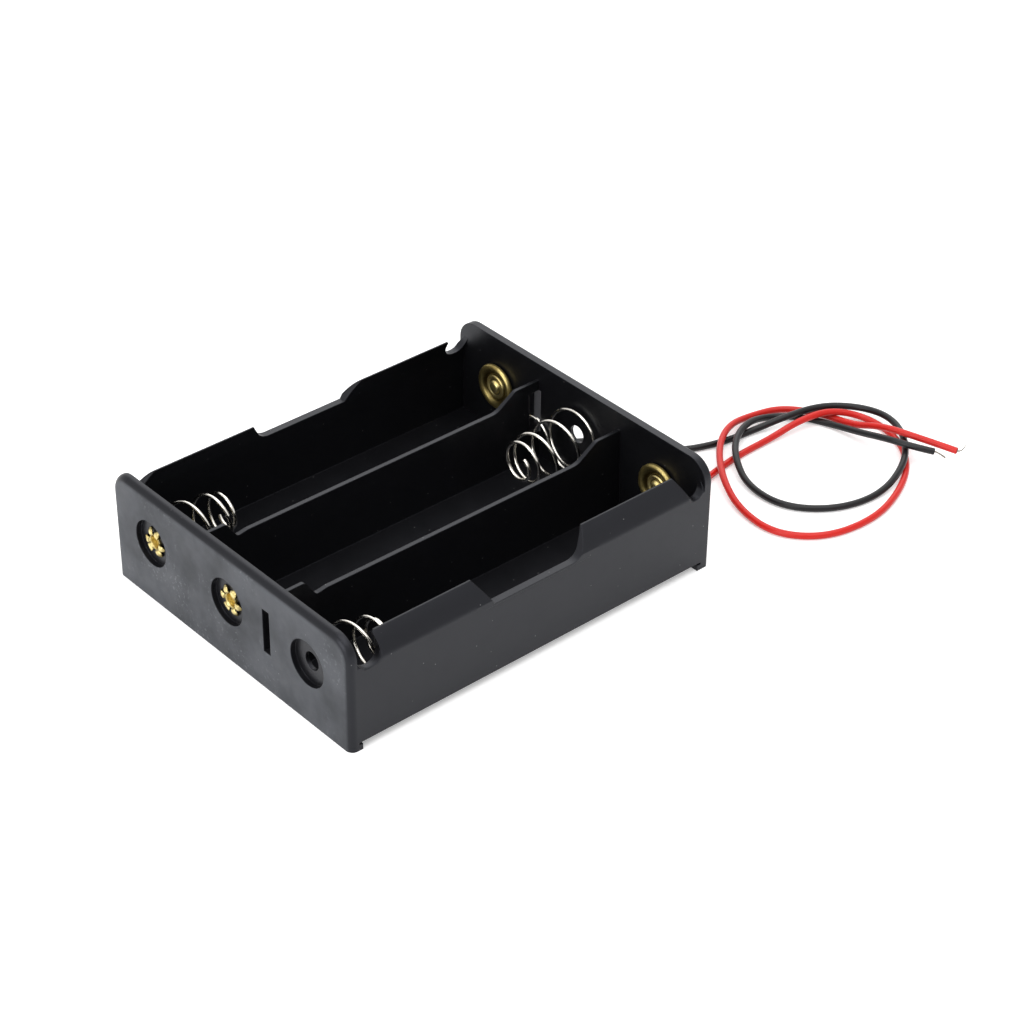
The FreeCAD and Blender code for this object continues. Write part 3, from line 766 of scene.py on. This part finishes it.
STRAND_COUNT = 7
STRAND_RADIUS = 0.055
STRAND_STEPS = 14
STRAND_ROOT = 0.4            # how far the strands reach back into the insulation
STRAND_TWIST = 2.6           # over their length, in radians
STRAND_SPACING = 2.4         # from one to the next round the bundle, in radians
BUNDLE_RADIUS = 0.12
SHORTEST_STRAND = 0.86       # as a share of the longest
WIDEST_SPREAD = 1.1          # cubed, so that few of them stray far
SPREAD_START = 0.45          # where they start to spread, as a share of their length


def strands(name, route, reach_to, seed):
    """The bare strands at a lead's free end: fine twisted wires that bend as one and spread a little."""
    rng = random.Random(seed)
    end = Vector(route[-1])
    along = (end - Vector(route[-2])).normalized()
    side = along.cross(Vector((0, 0, 1))).normalized()
    lift = side.cross(along)
    tip = end + Vector(reach_to)
    middle = end + along * STRAND_LENGTH / 2
    paths = []
    for i in range(STRAND_COUNT):
        angle = i * STRAND_SPACING
        ring = BUNDLE_RADIUS * math.sqrt((i + 0.5) / STRAND_COUNT)
        reach = rng.uniform(SHORTEST_STRAND, 1.0)
        spread = rng.uniform(0.0, WIDEST_SPREAD) ** 3
        path = []
        for step in range(STRAND_STEPS + 1):
            t = step / STRAND_STEPS * reach
            centre = end * (1 - t) ** 2 + middle * 2 * t * (1 - t) + tip * t**2
            turn = angle + STRAND_TWIST * t
            out = ring + spread * max(t - SPREAD_START, 0) ** 2
            path.append(centre + (side * math.cos(turn) + lift * math.sin(turn)) * out)
        path[0] -= along * STRAND_ROOT
        paths.append(path)
    return wire(name, paths, STRAND_RADIUS, TINNED)


# Cut face of a lead: its lip of insulation, along the lead and in from its surface, and the core inside
CUT_LIP = [(-0.1, 0.02), (0.05, 0.02), (0.13, 0.14), (0.07, 0.26), (-0.1, 0.28)]
INSULATION = 0.27
CORE_BACK = -0.1
CORE_FRONT = 0.03


def cut_end(name, route, insulation):
    """The cut face at a lead's free end: a slightly proud lip of insulation round the core's end, which is
    painted dark as the shade inside the cut.

    The insulation is given by its material and slot; the slot is not used.
    """
    end = Vector(route[-1])
    along = (end - Vector(route[-2])).normalized()
    place = Matrix.Translation(end * MM) @ along.to_track_quat("X", "Z").to_matrix().to_4x4()
    outer = LEAD_DIAMETER / 2
    inner = outer - INSULATION
    lip = [(x, outer - inset) for x, inset in CUT_LIP]
    core = [(CORE_BACK, 0.0), (CORE_BACK, inner), (CORE_FRONT, inner), (CORE_FRONT, 0.0)]
    pieces = []
    for part, profile, material, slot in (
        ("lip", lip + lip[:1], insulation[0], insulation[1]), ("core", core, CORE_WITH_PAINTED_SHADE, "tinned_copper")
    ):
        item = lathe(f"{name}_cut_{part}", profile, material)
        item.data.transform(place)
        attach(item, "case")
        pieces.append(item)
    return pieces


# Where the longest strand of each lead would end, from the cut
RED_STRAND_TIP = (1.44, -0.81, 1.02)
BLACK_STRAND_TIP = (1.21, -2.0, -0.99)

red_strands = strands("red_lead_bare_strands", RED_ROUTE, RED_STRAND_TIP, 4)
black_strands = strands("black_lead_bare_strands", BLACK_ROUTE, BLACK_STRAND_TIP, 7)
red_end = cut_end("red_lead", RED_ROUTE, (RED_PVC, "red_insulation"))
black_end = cut_end("black_lead", BLACK_ROUTE, (BLACK_PVC, "black_insulation"))
red_lead = lead("red_lead_insulation", RED_ROUTE, RED_PVC)
black_lead = lead("black_lead_insulation", BLACK_ROUTE, BLACK_PVC)
for item, node, slot in (
    (red_strands, "red_strands", "tinned_copper"),
    (black_strands, "black_strands", "tinned_copper"),
    (red_lead, "red_lead", "red_insulation"),
    (black_lead, "black_lead", "black_insulation"),
):
    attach(item, "case")
    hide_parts(node)

# Materials of the nodes that stay as they were built

for node, material in (
    ("case", ABS),
    ("black_lead_run", BLACK_PVC),
    ("red_terminal_wire", TINNED),
    ("black_terminal_wire", TINNED),
    ("red_solder", SOLDER),
    ("black_solder", SOLDER),
):
    dress(node, material)


# Studio, in metres

FLOOR_HALF = 3.0
FLOOR_GLOW_NEAR = 0.33
FLOOR_GLOW_FAR = 0.6
FLOOR_GLOW_START = 0.3       # distance from the object where the floor's glow starts to rise
FLOOR_GLOW_END = 1.5
ROOM_LIGHT = 0.5             # what surfaces get of the room's white


def camera():
    """The camera of the photograph."""
    a, e, r = (math.radians(v) for v in (CAMERA_AZIMUTH, CAMERA_ELEVATION, CAMERA_ROLL))
    right = Vector((math.cos(a), math.sin(a), 0))
    back = Vector((math.sin(a) * math.cos(e), -math.cos(a) * math.cos(e), math.sin(e)))
    up = back.cross(right)
    right, up = math.cos(r) * right + math.sin(r) * up, math.cos(r) * up - math.sin(r) * right
    place = (right * CAMERA_RIGHT + up * CAMERA_UP + back * CAMERA_DISTANCE) * MM
    data = bpy.data.cameras.new("camera")
    data.sensor_width = SENSOR_WIDTH
    data.lens = FOCAL_LENGTH
    data.clip_start = 0.01
    item = bpy.data.objects.new("camera", data)
    item.matrix_world = Matrix.Translation(place) @ Matrix((right, up, back)).transposed().to_4x4()
    bpy.context.scene.collection.objects.link(item)
    bpy.context.scene.camera = item


def area_light(name, place, target, width, height, power):
    """A rectangular softbox that faces its target."""
    data = bpy.data.lights.new(name, "AREA")
    data.shape = "RECTANGLE"
    data.size = width
    data.size_y = height
    data.energy = power
    item = bpy.data.objects.new(name, data)
    item.location = place
    item.rotation_euler = (Vector(target) - Vector(place)).to_track_quat("-Z", "Y").to_euler()
    bpy.context.scene.collection.objects.link(item)


def seen(tree):
    """1 for rays of the camera, of reflections and of refractions, and 0 for those that light surfaces."""
    rays = add_node(tree, "ShaderNodeLightPath").outputs
    either = add_node(
        tree, "ShaderNodeMath", {"operation": "MAXIMUM"}, _0=rays["Is Camera Ray"], _1=rays["Is Glossy Ray"]
    )
    return add_node(
        tree, "ShaderNodeMath", {"operation": "MAXIMUM"}, _0=either.outputs[0], _1=rays["Is Transmission Ray"]
    ).outputs[0]


def white_floor():
    """White paper sweep: matt and evenly white to the eye, with only the object's soft shadow on it."""
    corners = [(x * FLOOR_HALF, y * FLOOR_HALF, 0) for x, y in ((-1, -1), (1, -1), (1, 1), (-1, 1))]
    material, tree, place = new_material("white paper sweep")
    distance = add_node(tree, "ShaderNodeVectorMath", {"operation": "LENGTH"}, _0=place).outputs["Value"]
    rising = add_node(
        tree, "ShaderNodeMapRange", None, Value=distance, From_Min=FLOOR_GLOW_START, From_Max=FLOOR_GLOW_END,
        To_Min=FLOOR_GLOW_NEAR, To_Max=FLOOR_GLOW_FAR,
    ).outputs[0]
    glow = add_node(tree, "ShaderNodeMath", {"operation": "MULTIPLY"}, _0=seen(tree), _1=rising).outputs[0]
    shader = add_node(
        tree, "ShaderNodeBsdfPrincipled", None, Base_Color=hex_colour("#F4F4F4"), Roughness=0.8, IOR=1.45,
        Emission_Color=hex_colour("#FFFFFF"), Emission_Strength=glow,
    )
    add_node(tree, "ShaderNodeOutputMaterial", None, Surface=shader.outputs[0])
    item = mesh_object("white_table", corners, [], [(0, 1, 2, 3)], material)


def surroundings():
    """A white room to the eye, and a softer light to the surfaces in it."""
    world = bpy.data.worlds.new("white room")
    world.use_nodes = True
    tree = world.node_tree
    tree.nodes.clear()
    strength = add_node(
        tree, "ShaderNodeMapRange", None, Value=seen(tree), To_Min=ROOM_LIGHT, To_Max=1.0
    ).outputs[0]
    glow = add_node(tree, "ShaderNodeBackground", None, Color=hex_colour("#FFFFFF"), Strength=strength)
    add_node(tree, "ShaderNodeOutputWorld", None, Surface=glow.outputs[0])
    bpy.context.scene.world = world


camera()
white_floor()
surroundings()
area_light("back softbox", place=(0.52, 0.60, 0.75), target=(0.02, 0, 0), width=1.1, height=0.8, power=4)
area_light("top softbox", place=(-0.05, -0.15, 0.95), target=(0, 0, 0), width=1.0, height=1.0, power=7)
area_light("left softbox", place=(-0.8, -0.1, 0.35), target=(0, 0, 0.01), width=0.7, height=0.5, power=4)

bpy.context.scene.view_settings.view_transform = "Standard"
